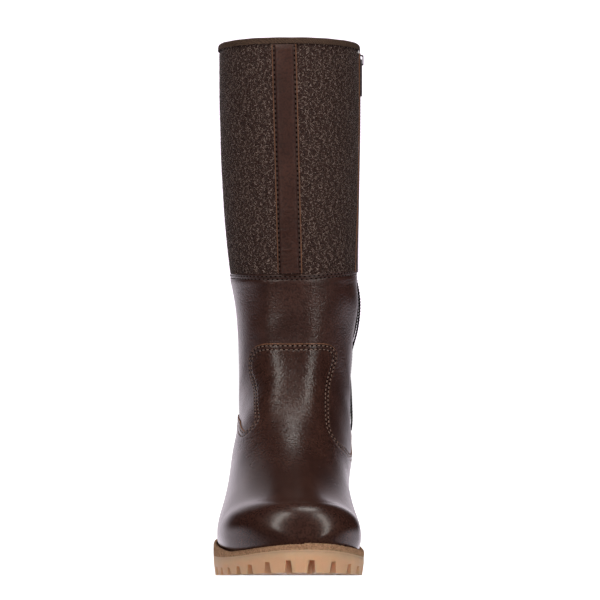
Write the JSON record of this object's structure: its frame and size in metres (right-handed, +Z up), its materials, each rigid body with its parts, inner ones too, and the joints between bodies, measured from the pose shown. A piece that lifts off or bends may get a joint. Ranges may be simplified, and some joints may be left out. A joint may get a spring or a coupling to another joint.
{
  "type": "winter boot",
  "caption": "Tall right winter boot with a leather foot, felt shaft with a front strip, inner side zip and a gum rubber lug sole with heel.",
  "frame": {"origin": "middle of the boot's bounding box, on the floor that the sole stands on", "axes": "+Z up, toe towards -Y, inner side with the zip towards +X"},
  "size_m": [0.1092, 0.2824, 0.3864],
  "materials": {
    "gum_rubber": "matt gum rubber",
    "welt_rubber": "rough granular strip",
    "lining": "plain warm lining",
    "leather": "smooth dark brown, soft gloss",
    "felt": "brown wool felt with pale flecks",
    "binding": "dark olive brown binding",
    "zip_tape": "woven tape",
    "zip_chain": "dark coil",
    "gunmetal": "dark grey metal"
  },
  "bodies": {
    "boot": {"outsole": "gum_rubber", "welt": "welt_rubber", "insole": "lining", "upper": "leather", "vamp": "leather", "shaft": "felt", "front_strip": "leather", "collar_binding": "binding", "zip_facing_front": "leather", "zip_facing_rear": "leather", "zip_tape": "zip_tape", "zip_chain": "zip_chain", "zip_slider": "gunmetal"},
    "pull": {"zip_pull": "gunmetal"}
  },
  "joints": [
    {"name": "pull_swing", "type": "hinge", "parent": "boot", "child": "pull", "pos_m": [0.05266, 0.082, 0.3735], "axis": [0, -1, 0], "range_deg": [0, 160]}
  ]
}
